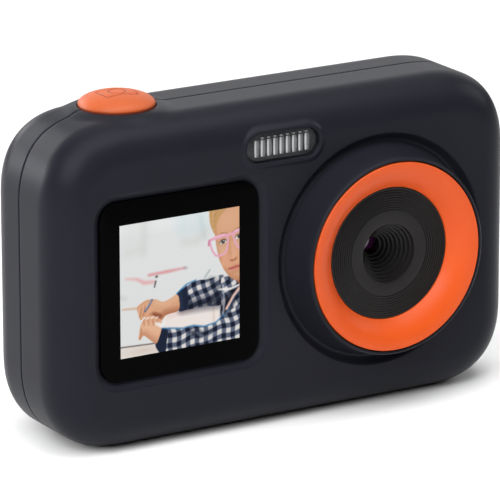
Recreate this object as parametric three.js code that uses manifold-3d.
// Kids digital camera: two-part casing with a small front display, a large ringed lens, a flash window,
// a domed shutter button, and a rear display with eight keys.
// Millimetres. +X is to the right seen from the front, the front faces -Y, +Z is up.
// The camera stands on Z = 0.

import * as THREE from 'three';
import { mergeVertices } from 'three/addons/utils/BufferGeometryUtils.js';
import Module from 'manifold-3d';

const wasm = await Module();
wasm.setup();

// ---------------------------------------------------------------- driving dimensions

const GAP = 0.3; // clearance between neighbouring pieces
const JOIN = 0.1; // how far shapes of one solid run into each other
const PASS = 1; // how far a cutting shape runs past the surface it opens

// casing
const WIDTH = 92;
const HEIGHT = 57.2;
const DEPTH = 25;
const WALL = 2.2;
const CORNER = 15; // reach of each corner of the front outline
const CORNER_FULLNESS = 0.69; // handle length of the corner curve, a little squarer than a circle
const FRONT_EDGE = { inset: 6.5, depth: 7 }; // soft edge round the front
const BACK_EDGE = { inset: 7, depth: 7.2 }; // soft edge round the back
const FRONT_Y = -10.05;
const BACK_Y = FRONT_Y + DEPTH;
const MID_Z = HEIGHT / 2;
const PARTING_Y = FRONT_Y + 13.2; // plane where the two shells meet
const FRONT_INSIDE = FRONT_Y + WALL;
const BACK_INSIDE = BACK_Y - WALL;
const TOP_INSIDE = HEIGHT - WALL;
const TONGUE = { outer: 1.2, inner: 2, length: 1.45, root: 0.7 }; // lip of the front shell in the rear one

// front display
const FRONT_GLASS = { x: -22, z: 28.7, width: 31.1, height: 31.6, corner: 3.4, thick: 1, recess: 0.45 };
const FRONT_GLASS_BEVEL = 1.15;
const FRONT_APERTURE = { z: 28.4, width: 27.6, height: 26.6, corner: 1.5 };
const FRONT_PANEL = { x: -22.3, z: 27.4, width: 26.4, height: 29.2, thick: 1.55 };
const FRONT_FLEX = { left: -28.9, right: -18.9, low: 8.9, high: 12.4 };

// rear display
const REAR_GLASS = { x: 9.5, z: MID_Z, width: 50, height: 38.5, corner: 3, thick: 1, recess: 0.3 };
const REAR_APERTURE = { width: 47.4, height: 36, corner: 1.5 };
const REAR_PANEL = { width: 52, height: 41, thick: 2.35 };
const REAR_FLEX = { left: 5, right: 17, low: 5.4, high: 9.5 };

// lens, on an axis along Y
const LENS_X = 17.9;
const LENS_Z = 28.5;
const LENS_FRONT = FRONT_Y - 5.5; // front of the lens rim and of its trim ring
const LENS_CREASE_R = 20.8; // where the round hollow starts in the front face
const RING_OUTER_R = 16.82;
const RING_INNER_R = 11.8;
const RING_DROP = 2.6; // how far the trim ring falls from its outer to its inner edge
const SEAT_Y = FRONT_Y + 1.45; // floor that the trim ring sits on
const SEAT_HOLE_R = 13.5;
const SEAT_THICK = 1.7;
const RING_FLANGE_R = 14.4; // inside of the trim ring behind its sloping front
const HOOD_FACE = LENS_FRONT + 2.8;
const HOOD_FLANGE = { radius: 14.1, front: LENS_FRONT + 3.9, back: HOOD_FACE + 2.2 };
const HOOD_NECK_R = 7.2;
const HOOD_LAND_R = 5.2; // mouth of the stepped cone
const HOOD_END_R = 1.5;
const HOOD_END_Y = HOOD_FACE + 5.4;
const HOOD_STEPS = 4;
const SENSOR_HALF = 4.6;

// flash
const FLASH = { x: -1.9, z: 50, width: 14.2, height: 4.8 };
const FLASH_RIBS = 9;
const FLASH_RIB_PITCH = 1.25;
const FLASH_RIB = { halfWidth: 0.2, halfHeight: 1.5, depth: 0.3 };
const FLASH_FLANGE = 0.8; // how far the window's retaining flange reaches past its hole

// shutter button, on an axis along Z in the parting plane
const SHUTTER_X = -26.9;
const SHUTTER_R = 6.64;
const SHUTTER_TOP = 60;
const SHUTTER_EDGE = 57.7; // where the dome starts
const SHUTTER_FLANGE = { reach: 0.96, low: 53.9 };
const SHUTTER_SKIRT_R = 5.4; // inside of the hollow cap
const SHUTTER_STEM = { radius: 1.2, low: 52.2, high: HEIGHT - 0.2 };
const SHUTTER_SWITCH = { half: 3, low: 47.7, high: 51.2, bore: 1.5 };
const SHUTTER_PLUNGER = { radius: 1.1, low: 49.9, high: 51.9 };
const SHUTTER_BOARD = { half: 7.6, front: -1, back: 6.6, low: 46.4, high: 47.4 };
const SHUTTER_BRACKET = { left: -7.1, right: 5.9, thick: 1.2, low: 44.6, high: 46.1 };
const COLLAR_HEIGHT = 0.8;
const COLLAR_REACH = 2.46;

// rear keys: a ring of four arrow keys round the OK key, and three round keys
const PAD = { x: -27.5, z: 27, inner: 5.2, outer: 9.6, halfAngle: 0.66 };
const OK_R = 3.6;
const SMALL_KEY_R = 2.8;
const KEY_RISE = 0.6; // how far a key stands out of the back
const KEY_FLANGE = 0.8; // thickness of a key's retaining flange, and how far it reaches past the key
const KEY_STEM_R = 1.1;
const KEY_SWITCH = { half: 1.7, height: 1, buttonR: 0.9 };
const SMALL_KEYS = [
  { name: 'power', x: -34, z: 43.6 },
  { name: 'mode', x: -21, z: 43.6 },
  { name: 'playback', x: -34, z: 10.8 },
];
const ARROW_KEYS = [
  { name: 'left', angle: 0 },
  { name: 'up', angle: Math.PI / 2 },
  { name: 'right', angle: Math.PI },
  { name: 'down', angle: -Math.PI / 2 },
];

// boards
const BOARD_FRONT = 8;
const BOARD_THICK = 1;
const BOARD_BACK = BOARD_FRONT + BOARD_THICK;
const SWITCH_HEIGHT = 1.5;
const FLEX_HALF_THICK = 0.12;
const WIRE_R = 0.45;
const FLEX_END_Y = BOARD_FRONT - 0.6; // where a flex lies against the main board

// fasteners
const CASE_SCREWS = [[-39.2, 7.6], [39.2, 7.6], [-39.2, 49.6], [39.2, 49.6]];
const BOARD_SCREWS = [[-39.2, 17], [-39.2, 36.5]];
const BOSS_R = 3.2;
const POST_R = 2.6;
const BOARD_POST_R = 1.9;
const SCREW_R = 0.8;
const SCREW_HEAD_R = 1.8;
const SCREW_SLOT = { length: 2.4, width: 0.5 };
const SCREW_HEAD_HOLE_R = 2.2;
const SCREW_SEAT_Y = 7.7;

// openings in the +X side
const SIDE_X = WIDTH / 2;
const COVER = { hingeX: 44.5, hingeZ: 15.1, top: 26.9, front: 4.2, back: 9, inside: 44.3, outside: 45.8 };
const COVER_PIN_R = 0.5;
const COVER_BORE_R = 0.62;
const COVER_KNUCKLE_R = 1.2;
const PORT_BAY = { inside: 42.3, outside: 44.2, back: 10.6 };
const USB = { z: 21.2, height: 9, front: 4.5, thick: 3.2, mouth: 43.6, length: 7.3, sheet: 0.35 };
const USB_TONGUE = { inside: 6, outside: 0.8, halfThick: 0.35, halfHeight: 3.3 };
const CARD = { z: 33.7, width: 11, length: 15, thick: 0.8, y: 6.7, end: 45.6, halfSlot: 0.7 };
const CARD_SOCKET = { left: 28.8, mouth: 42, half: 1, side: 1.2, sheet: 0.3 };
const CARD_SCOOP = { radius: 5, offset: 4.2, half: 2.2 };
const STRAP = { front: 0.2, back: 8.2, low: 41.9, high: 47.4, floor: 41, barBack: 5.1 };
const STRAP_WALL = { floor: 1.2, front: 1.4, back: 1.3, below: 1.3, above: 1.4 };

// small openings in the back
const SPEAKER = { x: -23.5, z: 10.8, width: 12, height: 10, thick: 3, holeR: 0.6, holeRing: 2.3 };
const STATUS_LIGHT = { x: -27.5, z: 45, r: 0.8 };
const MICROPHONE = { x: -27.5, z: 41.6, r: 0.5 };

// ---------------------------------------------------------------- helpers

function flatArray(geometry) {
  const bare = geometry.clone();
  bare.deleteAttribute('normal');
  bare.deleteAttribute('uv');
  return mergeVertices(bare, 1e-4);
}

// A closed three.js geometry as a solid that can be joined and cut.
// Triangles that a pole pinches shut are dropped.
function toSolid(geometry) {
  const merged = flatArray(geometry);
  const index = merged.index.array;
  const triangles = [];
  for (let i = 0; i < index.length; i += 3) {
    const [a, b, c] = [index[i], index[i + 1], index[i + 2]];
    if (a !== b && b !== c && c !== a) triangles.push(a, b, c);
  }
  const vertProperties = merged.attributes.position.array;
  const make = (list) => {
    const mesh = new wasm.Mesh({ numProp: 3, vertProperties, triVerts: new Uint32Array(list) });
    return new wasm.Manifold(mesh);
  };
  const solid = make(triangles);
  if (solid.volume() > 0) return solid;
  return make(triangles.reverse());
}

function toGeometry(solid) {
  const mesh = solid.getMesh();
  const geometry = new THREE.BufferGeometry();
  geometry.setAttribute('position', new THREE.BufferAttribute(new Float32Array(mesh.vertProperties), 3));
  geometry.setIndex(new THREE.BufferAttribute(new Uint32Array(mesh.triVerts), 1));
  geometry.computeVertexNormals();
  return geometry;
}

function box(x0, x1, y0, y1, z0, z1) {
  const geometry = new THREE.BoxGeometry(x1 - x0, y1 - y0, z1 - z0);
  return geometry.translate((x0 + x1) / 2, (y0 + y1) / 2, (z0 + z1) / 2);
}

// A flat shape drawn in X and Z, from yFront to yBack.
function plate(shape, yFront, yBack, curveSegments = 3) {
  const depth = yBack - yFront;
  const geometry = new THREE.ExtrudeGeometry(shape, { depth, bevelEnabled: false, curveSegments });
  return geometry.rotateX(Math.PI / 2).translate(0, yBack, 0);
}

// A flat shape drawn in Y and Z, from xLow to xHigh.
function profileAlongX(points, xLow, xHigh) {
  const shape = new THREE.Shape(points.map(([y, z]) => new THREE.Vector2(y, z)));
  const geometry = new THREE.ExtrudeGeometry(shape, { depth: xHigh - xLow, bevelEnabled: false });
  return geometry.rotateX(Math.PI / 2).rotateZ(Math.PI / 2).translate(xLow, 0, 0);
}

function discAlongY(radius, yFront, yBack, x, z, segments = 24) {
  const geometry = new THREE.CylinderGeometry(radius, radius, yBack - yFront, segments);
  return geometry.translate(x, (yFront + yBack) / 2, z);
}

function discAlongZ(radius, zLow, zHigh, x, y, segments = 24) {
  const geometry = new THREE.CylinderGeometry(radius, radius, zHigh - zLow, segments);
  return geometry.rotateX(Math.PI / 2).translate(x, y, (zLow + zHigh) / 2);
}

// A profile of [radius, height] turned about the Y axis.
// Its points are put in the order that faces the surface outwards.
function turned(profile, segments) {
  const points = profile.map(([r, h]) => new THREE.Vector2(r, h));
  if (THREE.ShapeUtils.area(points) < 0) points.reverse();
  return new THREE.LatheGeometry(points, segments);
}

// A closed profile of [radius, y] turned about the lens axis.
function turnedAlongY(profile, segments) {
  return turned(profile, segments).translate(LENS_X, 0, LENS_Z);
}

// A closed profile of [radius, z] turned about an axis along Z.
function turnedAlongZ(profile, segments, x, y) {
  return turned(profile, segments).rotateX(Math.PI / 2).translate(x, y, 0);
}

function roundedRectangle(x, z, width, height, corner) {
  const shape = new THREE.Shape();
  const right = x + width / 2 - corner;
  const left = x - width / 2 + corner;
  const top = z + height / 2 - corner;
  const bottom = z - height / 2 + corner;
  shape.absarc(right, top, corner, 0, Math.PI / 2);
  shape.absarc(left, top, corner, Math.PI / 2, Math.PI);
  shape.absarc(left, bottom, corner, Math.PI, Math.PI * 1.5);
  shape.absarc(right, bottom, corner, Math.PI * 1.5, Math.PI * 2);
  return shape;
}

// A sector of a ring, as seen from the front, centred on the direction angle.
function ringSector(centre, inner, outer, angle, halfAngle) {
  const shape = new THREE.Shape();
  shape.absarc(centre.x, centre.z, outer, angle - halfAngle, angle + halfAngle);
  shape.absarc(centre.x, centre.z, inner, angle + halfAngle, angle - halfAngle, true);
  shape.closePath();
  return shape;
}

function union(first, ...rest) {
  return rest.reduce((whole, piece) => whole.add(toSolid(piece)), first);
}

function cut(first, ...rest) {
  return rest.reduce((whole, piece) => whole.subtract(toSolid(piece)), first);
}

// ---------------------------------------------------------------- casing

function casingOutline(halfWidth, halfHeight, corner) {
  const shape = new THREE.Shape();
  const straightX = halfWidth - corner;
  const straightZ = halfHeight - corner;
  const handleX = straightX + corner * CORNER_FULLNESS;
  const handleZ = straightZ + corner * CORNER_FULLNESS;
  shape.moveTo(halfWidth, -straightZ);
  shape.lineTo(halfWidth, straightZ);
  shape.bezierCurveTo(halfWidth, handleZ, handleX, halfHeight, straightX, halfHeight);
  shape.lineTo(-straightX, halfHeight);
  shape.bezierCurveTo(-handleX, halfHeight, -halfWidth, handleZ, -halfWidth, straightZ);
  shape.lineTo(-halfWidth, -straightZ);
  shape.bezierCurveTo(-halfWidth, -handleZ, -handleX, -halfHeight, -straightX, -halfHeight);
  shape.lineTo(straightX, -halfHeight);
  shape.bezierCurveTo(handleX, -halfHeight, halfWidth, -handleZ, halfWidth, -straightZ);
  return shape;
}

// The whole casing, inset all round, with its soft edges.
function casing(inset, edge) {
  const bevelSize = edge.inset - inset;
  const bevelThickness = edge.depth - inset;
  const shape = casingOutline(WIDTH / 2 - inset, HEIGHT / 2 - inset, CORNER - inset);
  const geometry = new THREE.ExtrudeGeometry(shape, {
    depth: DEPTH - 2 * edge.depth,
    bevelEnabled: true,
    bevelSize,
    bevelThickness,
    bevelOffset: -bevelSize,
    bevelSegments: 5,
    curveSegments: 6,
  });
  return toSolid(geometry.rotateX(Math.PI / 2).translate(0, BACK_Y - edge.depth, MID_Z));
}

// A band of the casing between two insets and two depths, for the tongue and its groove.
function band(edge, outerInset, innerInset, yFront, yBack) {
  const slice = toSolid(box(-WIDTH, WIDTH, yFront, yBack, -HEIGHT, 2 * HEIGHT));
  return casing(outerInset, edge).subtract(casing(innerInset, edge)).intersect(slice);
}

// The raised collar round the shutter button, no higher than COLLAR_HEIGHT above the casing anywhere.
function shutterCollar(edge) {
  const hole = SHUTTER_R + GAP;
  const rise = SHUTTER_EDGE - HEIGHT;
  const profile = [
    [hole, TOP_INSIDE],
    [hole + COLLAR_REACH, TOP_INSIDE],
    [hole + COLLAR_REACH, HEIGHT],
    [hole + COLLAR_REACH * 0.7, HEIGHT + rise * 0.5],
    [hole + COLLAR_REACH * 0.4, HEIGHT + rise * 0.93],
    [hole + COLLAR_REACH * 0.15, HEIGHT + rise],
    [hole, HEIGHT + rise * 0.8],
    [hole, TOP_INSIDE],
  ];
  const collar = toSolid(turnedAlongZ(profile, 32, SHUTTER_X, PARTING_Y));
  return collar.intersect(casing(-COLLAR_HEIGHT, edge));
}

function shutterOpenings() {
  const low = SHUTTER_FLANGE.low - 5;
  const flangeR = SHUTTER_R + SHUTTER_FLANGE.reach + GAP;
  return [
    discAlongZ(SHUTTER_R + GAP, low, SHUTTER_TOP, SHUTTER_X, PARTING_Y, 32),
    discAlongZ(flangeR, low, TOP_INSIDE, SHUTTER_X, PARTING_Y, 32),
  ];
}

// The round hollow, the rim that carries the lens trim ring, and the seat behind it, in one turned piece.
function lensMount() {
  const bore = RING_OUTER_R + GAP;
  const behind = SEAT_Y + SEAT_THICK;
  const profile = [
    [SEAT_HOLE_R, behind],
    [LENS_CREASE_R + 0.8, behind],
    [LENS_CREASE_R + 0.8, FRONT_Y + 1],
    [LENS_CREASE_R, FRONT_Y + 1],
    [LENS_CREASE_R, FRONT_Y],
    [LENS_CREASE_R - 0.6, FRONT_Y + 0.65],
    [LENS_CREASE_R - 1.4, FRONT_Y + 1.15],
    [LENS_CREASE_R - 2, FRONT_Y + 0.5],
    [bore + 1.2, LENS_FRONT + 4],
    [bore + 0.8, LENS_FRONT + 2],
    [bore + 0.5, LENS_FRONT + 0.4],
    [bore + 0.2, LENS_FRONT],
    [bore, LENS_FRONT + 0.15],
    [bore, SEAT_Y],
    [SEAT_HOLE_R, SEAT_Y],
    [SEAT_HOLE_R, behind],
  ];
  return turnedAlongY(profile, 40);
}

function strapPocketBlock() {
  return box(
    STRAP.floor - STRAP_WALL.floor,
    PORT_BAY.outside,
    STRAP.front - STRAP_WALL.front,
    STRAP.back + STRAP_WALL.back,
    STRAP.low - STRAP_WALL.below,
    STRAP.high + STRAP_WALL.above,
  );
}

function strapPocket() {
  return box(STRAP.floor, SIDE_X + PASS, STRAP.front, STRAP.back, STRAP.low, STRAP.high);
}

// A rounded rectangle in front of or behind a glass or window, larger than it by grow on every side.
function around(piece, grow) {
  const { x, z, width, height, corner } = piece;
  return roundedRectangle(x, z, width + 2 * grow, height + 2 * grow, corner + grow);
}

function flashOutline(grow) {
  return around({ ...FLASH, corner: FLASH.height / 2 }, grow);
}

function frontShell() {
  const half = toSolid(box(-WIDTH, WIDTH, -WIDTH, PARTING_Y - GAP / 2, -HEIGHT, 2 * HEIGHT));
  const glass = FRONT_GLASS;
  const aperture = roundedRectangle(
    FRONT_PANEL.x, FRONT_APERTURE.z, FRONT_APERTURE.width, FRONT_APERTURE.height, FRONT_APERTURE.corner,
  );
  const bevel = new THREE.ExtrudeGeometry(around(glass, GAP + FRONT_GLASS_BEVEL), {
    depth: PASS,
    bevelEnabled: true,
    bevelSize: FRONT_GLASS_BEVEL,
    bevelThickness: glass.recess,
    bevelOffset: -FRONT_GLASS_BEVEL,
    bevelSegments: 1,
    curveSegments: 3,
  });
  bevel.rotateX(Math.PI / 2).translate(0, FRONT_Y, 0);

  let shell = casing(0, FRONT_EDGE).subtract(casing(WALL, FRONT_EDGE)).intersect(half);
  const tongueStart = PARTING_Y - TONGUE.root;
  shell = shell.add(band(FRONT_EDGE, TONGUE.outer, TONGUE.inner, tongueStart, PARTING_Y + TONGUE.length));
  for (const [x, z] of CASE_SCREWS) {
    shell = union(shell, discAlongY(POST_R, FRONT_INSIDE - JOIN, PARTING_Y - GAP / 2, x, z));
  }
  shell = shell.add(toSolid(strapPocketBlock()).intersect(half));
  const bracket = SHUTTER_BRACKET;
  for (const x of [SHUTTER_X + bracket.left, SHUTTER_X + bracket.right]) {
    const arm = box(x, x + bracket.thick, FRONT_INSIDE - JOIN, PARTING_Y - 1, bracket.low, bracket.high);
    shell = union(shell, arm);
  }
  shell = shell.add(shutterCollar(FRONT_EDGE).intersect(half));
  const hollow = discAlongY(LENS_CREASE_R - 0.01, FRONT_Y - PASS, FRONT_INSIDE + PASS, LENS_X, LENS_Z, 40);
  shell = cut(shell, hollow);
  shell = union(shell, lensMount());
  shell = cut(
    shell,
    bevel,
    plate(around(glass, GAP), FRONT_Y - PASS, FRONT_Y + glass.recess + glass.thick + GAP),
    plate(aperture, FRONT_Y, FRONT_INSIDE + PASS),
    plate(flashOutline(GAP), FRONT_Y - PASS, FRONT_INSIDE + PASS),
    plate(flashOutline(FLASH_FLANGE + GAP), FRONT_INSIDE, FRONT_INSIDE + 4),
    strapPocket(),
    // the tongue stops short of the side openings
    box(SIDE_X - 5, SIDE_X + PASS, PARTING_Y - GAP / 2, PARTING_Y + 3, COVER.hingeZ - 3, STRAP.high + 2.5),
    ...shutterOpenings(),
  );
  for (const [x, z] of CASE_SCREWS) {
    shell = cut(shell, discAlongY(SCREW_R + GAP, PARTING_Y - 9, PARTING_Y + 3, x, z, 16));
  }
  return toGeometry(shell);
}

function rearShell() {
  const half = toSolid(box(-WIDTH, WIDTH, PARTING_Y + GAP / 2, WIDTH, -HEIGHT, 2 * HEIGHT));
  const glass = REAR_GLASS;
  const aperture = roundedRectangle(
    glass.x, glass.z, REAR_APERTURE.width, REAR_APERTURE.height, REAR_APERTURE.corner,
  );

  let shell = casing(0, BACK_EDGE).subtract(casing(WALL, BACK_EDGE)).intersect(half);
  for (const [x, z] of CASE_SCREWS) {
    shell = union(shell, discAlongY(BOSS_R, PARTING_Y + GAP / 2, BACK_INSIDE - 2.2, x, z));
  }
  for (const [x, z] of BOARD_SCREWS) {
    shell = union(shell, discAlongY(BOARD_POST_R, BOARD_BACK + GAP, BACK_INSIDE + JOIN, x, z, 20));
  }
  shell = shell.add(toSolid(strapPocketBlock()).intersect(half));
  // bay that closes the wall behind the port cover and the card slot
  const bayLow = COVER.hingeZ - 2.6;
  const bayFront = PARTING_Y + GAP / 2;
  shell = union(shell, box(PORT_BAY.inside, PORT_BAY.outside, bayFront, PORT_BAY.back, bayLow, CARD.z + 7));
  shell = shell.add(shutterCollar(BACK_EDGE).intersect(half));
  const grooveEnd = PARTING_Y + TONGUE.length + GAP;
  const groove = band(BACK_EDGE, TONGUE.outer - GAP, TONGUE.inner + GAP, 0, grooveEnd);
  const kept = toSolid(box(SIDE_X - 4, SIDE_X + PASS, 0, 20, bayLow, STRAP.high + 2));
  shell = shell.subtract(groove.subtract(kept));
  shell = cut(
    shell,
    plate(around(glass, GAP), BACK_Y - glass.recess - glass.thick - GAP, BACK_Y + PASS),
    plate(aperture, BACK_INSIDE - PASS, BACK_Y),
    strapPocket(),
    ...portOpenings(),
    ...keyHoles(),
    ...shutterOpenings(),
    backHole(STATUS_LIGHT.r + GAP, STATUS_LIGHT.x, STATUS_LIGHT.z, 16),
    backHole(MICROPHONE.r, MICROPHONE.x, MICROPHONE.z, 12),
    ...speakerHoles(),
  );
  // lanyard bar across the middle of its pocket
  const bar = box(SIDE_X - 2.1, SIDE_X - 0.5, bayFront, STRAP.barBack, STRAP.low - 0.5, STRAP.high + 0.5);
  shell = union(shell, bar);
  for (const [x, z] of CASE_SCREWS) {
    shell = cut(
      shell,
      discAlongY(SCREW_HEAD_HOLE_R, SCREW_SEAT_Y, BACK_Y + PASS, x, z, 20),
      discAlongY(SCREW_R + GAP, 0, BACK_Y, x, z, 16),
    );
  }
  for (const [x, z] of BOARD_SCREWS) {
    shell = cut(shell, discAlongY(SCREW_R + GAP, BOARD_BACK, BACK_INSIDE, x, z, 16));
  }
  return toGeometry(shell);
}

// A round hole through the back wall.
function backHole(radius, x, z, segments = 24) {
  return discAlongY(radius, BACK_INSIDE - PASS, BACK_Y + PASS, x, z, segments);
}

function portOpenings() {
  const { hingeX, hingeZ } = COVER;
  const front = COVER.front - GAP;
  const back = COVER.back + GAP;
  const outside = SIDE_X + PASS;
  const usbReach = USB.height / 2 + GAP;
  const cardReach = CARD.width / 2 + GAP;
  const scoop = CARD_SCOOP;
  return [
    box(COVER.inside - GAP, outside, front, back, hingeZ, COVER.top + GAP),
    discAlongY(COVER_KNUCKLE_R + GAP, front, back, hingeX, hingeZ, 24),
    box(hingeX, outside, front, back, hingeZ - COVER_KNUCKLE_R - 0.35, hingeZ),
    discAlongY(COVER_BORE_R, COVER.front - 0.6, COVER.back + 1.3, hingeX, hingeZ, 16),
    box(40, SIDE_X, USB.front - GAP, USB.front + USB.thick + GAP, USB.z - usbReach, USB.z + usbReach),
    box(40, outside, CARD.y - CARD.halfSlot, CARD.y + CARD.halfSlot, CARD.z - cardReach, CARD.z + cardReach),
    // scoop that lets a finger reach the card
    discAlongY(scoop.radius, CARD.y - scoop.half, CARD.y + scoop.half, SIDE_X + scoop.offset, CARD.z, 40),
  ];
}

function keyHoles() {
  const holes = SMALL_KEYS.map(({ x, z }) => backHole(SMALL_KEY_R + GAP, x, z));
  holes.push(backHole(OK_R + GAP, PAD.x, PAD.z));
  for (const { angle } of ARROW_KEYS) {
    const shape = ringSector(PAD, PAD.inner - GAP, PAD.outer + GAP, angle, PAD.halfAngle + GAP / PAD.inner);
    holes.push(plate(shape, BACK_INSIDE - PASS, BACK_Y + PASS, 4));
  }
  return holes;
}

function speakerHoles() {
  const holes = [backHole(SPEAKER.holeR, SPEAKER.x, SPEAKER.z, 12)];
  for (let i = 0; i < 6; i += 1) {
    const angle = (i * Math.PI) / 3;
    const x = SPEAKER.x + SPEAKER.holeRing * Math.cos(angle);
    const z = SPEAKER.z + SPEAKER.holeRing * Math.sin(angle);
    holes.push(backHole(SPEAKER.holeR, x, z, 12));
  }
  return holes;
}

// ---------------------------------------------------------------- lens

function lensTrimRing() {
  const front = [];
  const steps = 5;
  for (let i = 0; i <= steps; i += 1) {
    const s = i / steps;
    const r = RING_OUTER_R + (RING_INNER_R - RING_OUTER_R) * s;
    front.push([r, LENS_FRONT + RING_DROP * s ** 2.2]);
  }
  const lipBack = HOOD_FLANGE.front - GAP;
  const profile = [
    [RING_FLANGE_R, SEAT_Y - GAP],
    [RING_OUTER_R, SEAT_Y - GAP],
    ...front,
    [RING_INNER_R, lipBack],
    [RING_FLANGE_R, lipBack],
    [RING_FLANGE_R, SEAT_Y - GAP],
  ];
  return turnedAlongY(profile, 40);
}

function lensHoodDisc() {
  const end = HOOD_END_Y + 0.3;
  const edgeR = RING_INNER_R - GAP;
  const { radius, front, back } = HOOD_FLANGE;
  const profile = [[HOOD_END_R, end], [HOOD_NECK_R, end], [HOOD_NECK_R, back], [radius, back], [radius, front]];
  profile.push([edgeR, front], [edgeR, HOOD_FACE], [HOOD_LAND_R, HOOD_FACE]);
  for (let i = 0; i < HOOD_STEPS; i += 1) {
    const y = HOOD_FACE + ((i + 1) / HOOD_STEPS) * (HOOD_END_Y - HOOD_FACE);
    const r = HOOD_LAND_R + (i / HOOD_STEPS) * (HOOD_END_R - HOOD_LAND_R);
    const next = HOOD_LAND_R + ((i + 1) / HOOD_STEPS) * (HOOD_END_R - HOOD_LAND_R);
    profile.push([r, y], [next, y]);
  }
  profile.push([HOOD_END_R, end]);
  return turnedAlongY(profile, 24);
}

const BARREL_FRONT = HOOD_END_Y + 0.6;

function lensElement() {
  const profile = [
    [0, BARREL_FRONT + 1.7],
    [2, BARREL_FRONT + 1.7],
    [2, BARREL_FRONT + 1.1],
    [1.1, BARREL_FRONT + 0.9],
    [0, BARREL_FRONT + 0.8],
  ];
  return turnedAlongY(profile, 20);
}

function lensBarrel() {
  const profile = [
    [2.3, BARREL_FRONT + 4.4],
    [3.2, BARREL_FRONT + 4.4],
    [3.2, BARREL_FRONT],
    [1.5, BARREL_FRONT],
    [1.5, BARREL_FRONT + 0.5],
    [2.3, BARREL_FRONT + 0.5],
    [2.3, BARREL_FRONT + 4.4],
  ];
  return turnedAlongY(profile, 20);
}

function lensHolder() {
  const front = BARREL_FRONT + 1.6;
  const back = BARREL_FRONT + 7.2;
  const body = toSolid(box(LENS_X - 4.4, LENS_X + 4.4, front + 2, back, LENS_Z - 4.4, LENS_Z + 4.4));
  const collar = union(body, discAlongY(4.2, front, front + 3, LENS_X, LENS_Z, 24));
  return toGeometry(cut(
    collar,
    discAlongY(3.5, front - 1, BARREL_FRONT + 4.7, LENS_X, LENS_Z, 24),
    discAlongY(2.6, front, back + 1, LENS_X, LENS_Z, 20),
  ));
}

// ---------------------------------------------------------------- flash

function flashWindow() {
  const { x, z } = FLASH;
  const front = FRONT_Y + 0.15;
  const { halfWidth, halfHeight, depth } = FLASH_RIB;
  let window = toSolid(plate(flashOutline(0), front, FRONT_INSIDE + 0.5, 4));
  window = union(window, plate(flashOutline(FLASH_FLANGE), FRONT_INSIDE + GAP, FRONT_INSIDE + 0.9));
  for (let i = 0; i < FLASH_RIBS; i += 1) {
    const ribX = x + (i - (FLASH_RIBS - 1) / 2) * FLASH_RIB_PITCH;
    window = cut(window, box(
      ribX - halfWidth, ribX + halfWidth, front - PASS, front + depth, z - halfHeight, z + halfHeight,
    ));
  }
  return toGeometry(window);
}

// ---------------------------------------------------------------- keys

function shutterButton() {
  const domeSteps = 5;
  const stem = SHUTTER_STEM;
  const flangeR = SHUTTER_R + SHUTTER_FLANGE.reach;
  const flangeTop = TOP_INSIDE - GAP;
  const rise = SHUTTER_TOP - SHUTTER_EDGE;
  const profile = [[0, stem.low], [stem.radius, stem.low], [stem.radius, stem.high]];
  profile.push([SHUTTER_SKIRT_R, stem.high], [SHUTTER_SKIRT_R, SHUTTER_FLANGE.low]);
  profile.push([flangeR, SHUTTER_FLANGE.low], [flangeR, flangeTop], [SHUTTER_R, flangeTop]);
  profile.push([SHUTTER_R, SHUTTER_EDGE]);
  for (let i = 1; i < domeSteps; i += 1) {
    const angle = (i / domeSteps) * (Math.PI / 2);
    profile.push([(SHUTTER_R - 0.2) * Math.cos(angle), SHUTTER_EDGE + rise * Math.sin(angle)]);
  }
  profile.push([0, SHUTTER_TOP]);
  return turnedAlongZ(profile, 32, SHUTTER_X, PARTING_Y);
}

// A key with its retaining flange and the stem that meets its switch.
function key(shape, flange, stemX, stemZ) {
  const flangeBack = BACK_INSIDE - GAP;
  const flangeFront = flangeBack - KEY_FLANGE;
  let solid = toSolid(plate(shape, flangeBack - 0.2, BACK_Y + KEY_RISE, 4));
  solid = union(solid, plate(flange, flangeFront, flangeBack, 4));
  return toGeometry(union(solid, discAlongY(KEY_STEM_R, flangeFront - 0.35, flangeBack, stemX, stemZ, 12)));
}

function circle(x, z, radius) {
  const shape = new THREE.Shape();
  shape.absarc(x, z, radius, 0, Math.PI * 2);
  return shape;
}

function roundKey(x, z, radius) {
  return key(circle(x, z, radius), circle(x, z, radius + GAP + KEY_FLANGE / 2), x, z);
}

function arrowKeyCentre(angle) {
  const middle = (PAD.inner + PAD.outer) / 2;
  return [PAD.x + middle * Math.cos(angle), PAD.z + middle * Math.sin(angle)];
}

function arrowKey(angle) {
  const [x, z] = arrowKeyCentre(angle);
  const shape = ringSector(PAD, PAD.inner, PAD.outer, angle, PAD.halfAngle);
  const flange = ringSector(PAD, PAD.inner, PAD.outer + GAP + 0.7, angle, PAD.halfAngle);
  return key(shape, flange, x, z);
}

function keySwitch(x, z) {
  const { half, height, buttonR } = KEY_SWITCH;
  const front = BOARD_BACK + GAP;
  const base = toSolid(box(x - half, x + half, front, front + height, z - half, z + half));
  return toGeometry(union(base, discAlongY(buttonR, front + 0.2, front + SWITCH_HEIGHT, x, z, 12)));
}

// ---------------------------------------------------------------- boards and their pieces

function mainBoard() {
  const corners = [
    [-41, 12.2], [-35.4, 12.2], [-35.4, 6.5], [35.4, 6.5], [35.4, 12.2], [40.6, 12.2],
    [40.6, 39.8], [35.4, 39.8], [35.4, 50], [-14, 50], [-14, 45.9], [-41, 45.9],
  ];
  const shape = new THREE.Shape(corners.map(([x, z]) => new THREE.Vector2(x, z)));
  let board = toSolid(plate(shape, BOARD_FRONT, BOARD_BACK));
  for (const [x, z] of BOARD_SCREWS) {
    board = cut(board, discAlongY(SCREW_R + GAP, BOARD_FRONT - 1, BOARD_BACK + 1, x, z, 16));
  }
  return toGeometry(board);
}

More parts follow.
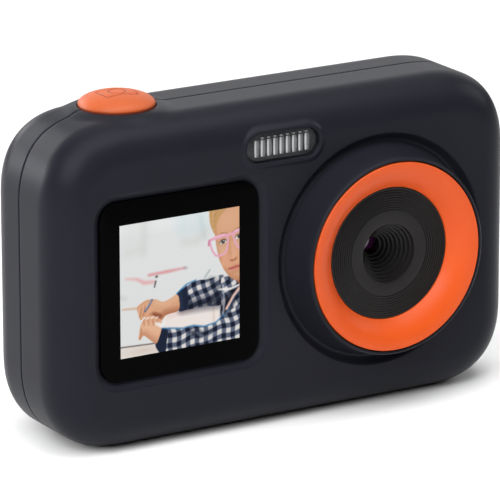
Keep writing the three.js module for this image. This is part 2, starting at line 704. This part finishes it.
function shutterSwitch() {
  const { half, low, high, bore } = SHUTTER_SWITCH;
  const body = toSolid(box(SHUTTER_X - half, SHUTTER_X + half, PARTING_Y - half, PARTING_Y + half, low, high));
  return toGeometry(cut(body, discAlongZ(bore, low + 0.9, high + PASS, SHUTTER_X, PARTING_Y, 16)));
}

// A screw along Y with its head towards headY, and its shank running on to tipY.
function screw(x, z, headY, seatY, tipY) {
  const seatToHead = Math.sign(headY - seatY);
  const half = SCREW_SLOT.length / 2;
  const halfWidth = SCREW_SLOT.width / 2;
  const [headLow, headHigh] = [headY, seatY].sort((a, b) => a - b);
  const [shankLow, shankHigh] = [seatY, tipY].sort((a, b) => a - b);
  const [slotLow, slotHigh] = [headY - 0.5 * seatToHead, headY + PASS * seatToHead].sort((a, b) => a - b);
  let solid = toSolid(discAlongY(SCREW_HEAD_R, headLow, headHigh, x, z, 16));
  solid = union(solid, discAlongY(SCREW_R, shankLow - 0.05, shankHigh + 0.05, x, z, 12));
  return toGeometry(cut(
    solid,
    box(x - half, x + half, slotLow, slotHigh, z - halfWidth, z + halfWidth),
    box(x - halfWidth, x + halfWidth, slotLow, slotHigh, z - half, z + half),
  ));
}

function usbPort() {
  const { z, front, thick, mouth, sheet } = USB;
  const { inside, outside, halfThick, halfHeight } = USB_TONGUE;
  const low = z - USB.height / 2;
  const high = z + USB.height / 2;
  const back = front + thick;
  const middle = front + thick / 2;
  let port = toSolid(box(mouth - USB.length, mouth, front, back, low, high));
  port = cut(port, box(mouth - 5.5, mouth + PASS, front + sheet, back - sheet, low + sheet, high - sheet));
  const tongue = box(
    mouth - inside, mouth - outside, middle - halfThick, middle + halfThick, z - halfHeight, z + halfHeight,
  );
  return toGeometry(union(port, tongue));
}

function cardSocket() {
  const { left, mouth, half, side, sheet } = CARD_SOCKET;
  const low = CARD.z - CARD.width / 2 - side;
  const high = CARD.z + CARD.width / 2 + side;
  const room = half - sheet;
  const socket = toSolid(box(left, mouth, CARD.y - half, CARD.y + half, low, high));
  const hollow = box(left + 0.7, mouth + PASS, CARD.y - room, CARD.y + room, low + 0.9, high - 0.9);
  return toGeometry(cut(socket, hollow));
}

function portCover() {
  const { hingeX, hingeZ, inside, outside, front, back, top } = COVER;
  let cover = toSolid(box(inside, outside, front, back, hingeZ, top));
  cover = union(cover, discAlongY(COVER_KNUCKLE_R, front, back, hingeX, hingeZ, 24));
  cover = cut(
    cover,
    discAlongY(COVER_BORE_R, front - PASS, back + PASS, hingeX, hingeZ, 16),
    // finger nail groove at the free end
    box(outside - 0.4, outside + PASS, front + 1, back - 1, top - 1, top - 0.5),
  );
  return toGeometry(cover);
}

// A wire through its points, six-sided.
function wire(points, radius) {
  const path = new THREE.CatmullRomCurve3(points.map(([x, y, z]) => new THREE.Vector3(x, y, z)));
  const section = new THREE.Shape();
  section.absarc(0, 0, radius, 0, Math.PI * 2);
  const settings = { steps: 8, curveSegments: 3, bevelEnabled: false, extrudePath: path };
  return new THREE.ExtrudeGeometry(section, settings);
}

// A flat flex ribbon that follows corner points in Y and Z.
function ribbon(xLow, xHigh, centreLine) {
  const line = centreLine.map(([y, z]) => new THREE.Vector2(y, z));
  const sides = [[], []];
  line.forEach((point, i) => {
    const before = i > 0 ? point.clone().sub(line[i - 1]).normalize() : null;
    const after = i < line.length - 1 ? line[i + 1].clone().sub(point).normalize() : null;
    const a = before ?? after;
    const b = after ?? before;
    const normal = new THREE.Vector2(-(a.y + b.y), a.x + b.x).normalize();
    const reach = FLEX_HALF_THICK / Math.max(0.5, normal.dot(new THREE.Vector2(-a.y, a.x)));
    sides[0].push([point.x + normal.x * reach, point.y + normal.y * reach]);
    sides[1].unshift([point.x - normal.x * reach, point.y - normal.y * reach]);
  });
  return profileAlongX([...sides[0], ...sides[1]], xLow, xHigh);
}

// ---------------------------------------------------------------- materials

function material(color, roughness, metalness = 0) {
  return new THREE.MeshStandardMaterial({ color, roughness, metalness });
}

const softPlastic = material('#3f3f49', 0.62);
const orangePlastic = material('#dd7148', 0.45);
const blackPlastic = material('#222121', 0.5);
const keyPlastic = material('#2b2b31', 0.5);
const displayGlass = material('#060606', 0.08);
const opticalGlass = material('#352a5c', 0.05);
const clearPlastic = material('#d9dadc', 0.25);
const panelFilm = material('#15161a', 0.3);
const boardGreen = material('#1f5a3c', 0.5);
const flexFilm = material('#b5762c', 0.5);
const chipBlack = material('#1a1a1c', 0.55);
const steel = material('#a9acb0', 0.35, 1);
const cellSilver = material('#b9bcc0', 0.45, 0.6);
const foamGrey = material('#3a3a3c', 0.95);
const ledYellow = material('#e9df9a', 0.4);
const wireRed = material('#b8231d', 0.5);
const wireBlack = material('#1b1b1b', 0.5);

// ---------------------------------------------------------------- assembly

const camera = new THREE.Group();

function add(name, geometry, surface) {
  const mesh = new THREE.Mesh(geometry, surface);
  mesh.name = name;
  camera.add(mesh);
  return mesh;
}

add('front_shell', frontShell(), softPlastic);
add('rear_shell', rearShell(), softPlastic);

// front display
const frontGlassFace = FRONT_Y + FRONT_GLASS.recess;
const frontGlass = plate(around(FRONT_GLASS, 0), frontGlassFace, frontGlassFace + FRONT_GLASS.thick);
add('front_display_glass', frontGlass, displayGlass);
const frontPanelFront = FRONT_INSIDE + GAP;
const frontPanelBack = frontPanelFront + FRONT_PANEL.thick;
const frontPanelLow = FRONT_PANEL.z - FRONT_PANEL.height / 2;
add('front_display_panel', box(
  FRONT_PANEL.x - FRONT_PANEL.width / 2,
  FRONT_PANEL.x + FRONT_PANEL.width / 2,
  frontPanelFront,
  frontPanelBack,
  frontPanelLow,
  FRONT_PANEL.z + FRONT_PANEL.height / 2,
), panelFilm);
const frontFlexY = frontPanelFront + 0.7;
add('front_display_flex', ribbon(FRONT_FLEX.left, FRONT_FLEX.right, [
  [frontFlexY, frontPanelLow - GAP],
  [frontFlexY, FRONT_FLEX.low],
  [FLEX_END_Y, FRONT_FLEX.low],
  [FLEX_END_Y, FRONT_FLEX.high],
]), flexFilm);

// rear display
const rearGlassBack = BACK_Y - REAR_GLASS.recess;
const rearGlass = plate(around(REAR_GLASS, 0), rearGlassBack - REAR_GLASS.thick, rearGlassBack);
add('rear_display_window', rearGlass, displayGlass);
const rearPanelBack = BACK_INSIDE - GAP;
const rearPanelLow = REAR_GLASS.z - REAR_PANEL.height / 2;
add('rear_display_panel', box(
  REAR_GLASS.x - REAR_PANEL.width / 2,
  REAR_GLASS.x + REAR_PANEL.width / 2,
  rearPanelBack - REAR_PANEL.thick,
  rearPanelBack,
  rearPanelLow,
  REAR_GLASS.z + REAR_PANEL.height / 2,
), panelFilm);
const rearFlexY = rearPanelBack - 1.2;
add('rear_display_flex', ribbon(REAR_FLEX.left, REAR_FLEX.right, [
  [rearFlexY, rearPanelLow - GAP],
  [rearFlexY, REAR_FLEX.low],
  [FLEX_END_Y, REAR_FLEX.low],
  [FLEX_END_Y, REAR_FLEX.high],
]), flexFilm);

// lens and camera module
add('lens_trim_ring', lensTrimRing(), orangePlastic);
add('lens_hood_disc', lensHoodDisc(), blackPlastic);
add('lens_element', lensElement(), opticalGlass);
add('lens_barrel', lensBarrel(), blackPlastic);
add('lens_holder', lensHolder(), blackPlastic);
const sensorFront = BARREL_FRONT + 7.2 + GAP;
const sensorThick = 0.8;
add('sensor_board', box(
  LENS_X - SENSOR_HALF,
  LENS_X + SENSOR_HALF,
  sensorFront,
  sensorFront + sensorThick,
  LENS_Z - SENSOR_HALF,
  LENS_Z + SENSOR_HALF,
), boardGreen);
const sensorFlexY = sensorFront + sensorThick / 2;
const sensorFlexLow = LENS_Z + SENSOR_HALF;
add('sensor_flex', ribbon(LENS_X - 3, LENS_X + 3, [
  [sensorFlexY, sensorFlexLow + GAP],
  [sensorFlexY, sensorFlexLow + 3],
  [FLEX_END_Y, sensorFlexLow + 3],
  [FLEX_END_Y, sensorFlexLow + 6],
]), flexFilm);

// flash
add('flash_window', flashWindow(), clearPlastic);
const flashLedFront = FRONT_INSIDE + 1.3;
const flashLedBack = flashLedFront + 0.8;
const flashBoardFront = flashLedBack + GAP;
add('flash_led', box(
  FLASH.x - 1.8, FLASH.x + 1.8, flashLedFront, flashLedBack, FLASH.z - 1.4, FLASH.z + 1.4,
), ledYellow);
add('flash_board', box(
  FLASH.x - 6, FLASH.x + 6, flashBoardFront, flashBoardFront + 0.8, FLASH.z - 2.4, FLASH.z + 2.4,
), boardGreen);

// shutter button, its switch and its board
add('shutter_button', shutterButton(), orangePlastic);
const plunger = SHUTTER_PLUNGER;
add('shutter_switch_plunger', discAlongZ(
  plunger.radius, plunger.low, plunger.high, SHUTTER_X, PARTING_Y, 16,
), blackPlastic);
add('shutter_switch', shutterSwitch(), steel);
add('shutter_switch_board', box(
  SHUTTER_X - SHUTTER_BOARD.half,
  SHUTTER_X + SHUTTER_BOARD.half,
  SHUTTER_BOARD.front,
  SHUTTER_BOARD.back,
  SHUTTER_BOARD.low,
  SHUTTER_BOARD.high,
), boardGreen);

// rear keys and their switches
for (const { name, x, z } of SMALL_KEYS) {
  add(`${name}_key`, roundKey(x, z, SMALL_KEY_R), keyPlastic);
  add(`${name}_key_switch`, keySwitch(x, z), steel);
}
for (const { name, angle } of ARROW_KEYS) {
  const [x, z] = arrowKeyCentre(angle);
  add(`${name}_key`, arrowKey(angle), keyPlastic);
  add(`${name}_key_switch`, keySwitch(x, z), steel);
}
add('ok_key', roundKey(PAD.x, PAD.z, OK_R), orangePlastic);
add('ok_key_switch', keySwitch(PAD.x, PAD.z), steel);

// main board
add('main_board', mainBoard(), boardGreen);
const chipBack = BOARD_FRONT - GAP;
const backPieces = BACK_INSIDE - GAP; // pieces that lie against the back wall end here
add('processor_chip', box(-8, 1, chipBack - 1.1, chipBack, 22, 31), chipBlack);
add('memory_chip', box(4, 10, chipBack - 1, chipBack, 22, 30), chipBlack);
add('microphone', box(
  MICROPHONE.x - 1.5, MICROPHONE.x + 1.5, backPieces - 1.1, backPieces, MICROPHONE.z - 1, MICROPHONE.z + 1.1,
), steel);
add('status_light_pipe', discAlongY(
  STATUS_LIGHT.r, BOARD_BACK + 1, BACK_Y - 0.1, STATUS_LIGHT.x, STATUS_LIGHT.z, 16,
), clearPlastic);
add('speaker', box(
  SPEAKER.x - SPEAKER.width / 2,
  SPEAKER.x + SPEAKER.width / 2,
  backPieces - SPEAKER.thick,
  backPieces,
  SPEAKER.z - SPEAKER.height / 2,
  SPEAKER.z + SPEAKER.height / 2,
), chipBlack);

// battery
const batteryFront = frontPanelBack + 1.4;
add('battery_pad', box(-34, -10, frontPanelBack + GAP, batteryFront - GAP, 16, 38), foamGrey);
add('battery', box(-36, -4, batteryFront, batteryFront + 5, 10.5, 43.5), cellSilver);
const redPath = [[-3.7, 0, 38.5], [-1.5, 0.6, 38.4], [0.5, 3, 38], [1, 6.2, 37.8]];
const blackPath = [[-3.7, 0, 36], [-1.5, 0.6, 35.9], [0.5, 3, 35.6], [1, 6.2, 35.4]];
add('battery_lead_red', wire(redPath, WIRE_R), wireRed);
add('battery_lead_black', wire(blackPath, WIRE_R), wireBlack);

// side ports
add('usb_c_port', usbPort(), steel);
add('card_socket', cardSocket(), steel);
add('micro_sd_card', box(
  CARD.end - CARD.length,
  CARD.end,
  CARD.y - CARD.thick / 2,
  CARD.y + CARD.thick / 2,
  CARD.z - CARD.width / 2,
  CARD.z + CARD.width / 2,
), chipBlack);
add('port_cover', portCover(), softPlastic);
add('port_cover_pin', discAlongY(
  COVER_PIN_R, COVER.front - 0.5, COVER.back + 1.1, COVER.hingeX, COVER.hingeZ, 16,
), steel);

// fasteners
CASE_SCREWS.forEach(([x, z], i) => {
  const seat = SCREW_SEAT_Y + GAP;
  add(`case_screw_${i + 1}`, screw(x, z, seat + 1.4, seat, PARTING_Y - 5), steel);
});
BOARD_SCREWS.forEach(([x, z], i) => {
  add(`board_screw_${i + 1}`, screw(x, z, chipBack - 1.1, chipBack, BACK_INSIDE - 0.6), steel);
});

export default camera;
